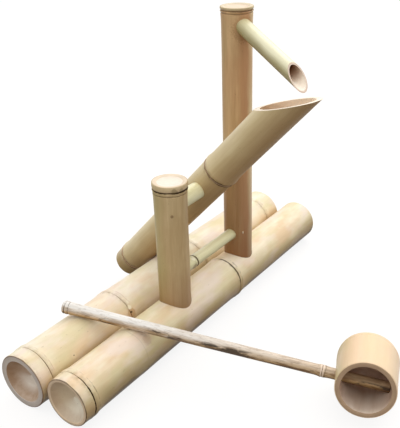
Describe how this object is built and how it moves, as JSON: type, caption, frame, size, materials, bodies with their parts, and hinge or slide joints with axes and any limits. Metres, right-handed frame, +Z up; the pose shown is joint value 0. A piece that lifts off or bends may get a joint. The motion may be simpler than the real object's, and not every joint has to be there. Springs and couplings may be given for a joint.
{
  "type": "shishi odoshi",
  "caption": "Bamboo deer scarer: a rocking tube on an axle between posts on a pole base, filled from a slanted spout, its heel knocking on the back pole, with a bamboo water ladle.",
  "frame": {"origin": "on the ground, in the middle of the plan box of the base, the rocking tube and the ladle", "axes": "+Y runs along the base poles to the end where water comes in, +X points to the side that the rocking tube's mouth looks to, +Z is up"},
  "size_m": [0.521, 0.6254, 0.4519],
  "materials": {
    "cream_culm": "dry peeled bamboo, cream with pale streaks",
    "tan_culm": "dry bamboo, olive brown",
    "brown_culm": "dry bamboo, reddish brown with dark streaks",
    "khaki_culm": "dry bamboo, khaki with a pale cut rim",
    "pale_rod": "glossy pale green bamboo",
    "cane": "whitish cane mottled brown",
    "cup_culm": "smooth peach bamboo, brown inside",
    "softwood": "sawn softwood",
    "clear_tube": "soft clear hose plastic",
    "black_plastic": "moulded black plastic",
    "nail_steel": "dull dark wire nails",
    "screw_steel": "zinc plated screws"
  },
  "bodies": {
    "base": {"striking_pole": "cream_culm", "post_pole": "cream_culm", "short_post": "tan_culm", "tall_post": "brown_culm", "pivot_axle": "pale_rod", "cross_bar": "pale_rod", "spout": "pale_rod", "supply_tube": "clear_tube", "hose_tail": "black_plastic", "end_bung": "softwood", "short_foot_plug": "softwood", "tall_foot_plug": "softwood", "foot_screws": "screw_steel", "pole_nails": "nail_steel", "axle_nail": "nail_steel", "crossbar_nail": "nail_steel"},
    "rocker": {"rocker_tube": "khaki_culm"},
    "ladle": {"ladle_cup": "cup_culm", "ladle_handle": "cane"}
  },
  "joints": [
    {"name": "rocker_swing", "type": "hinge", "parent": "base", "child": "rocker", "pos_m": [-0.08081, 0.0053, 0.2121], "axis": [0, 1, 0], "range_deg": [0, 100]},
    {"name": "ladle_lift", "type": "slide", "parent": "base", "child": "ladle", "axis": [0, 0, 1], "range_m": [0, 0.25]}
  ]
}
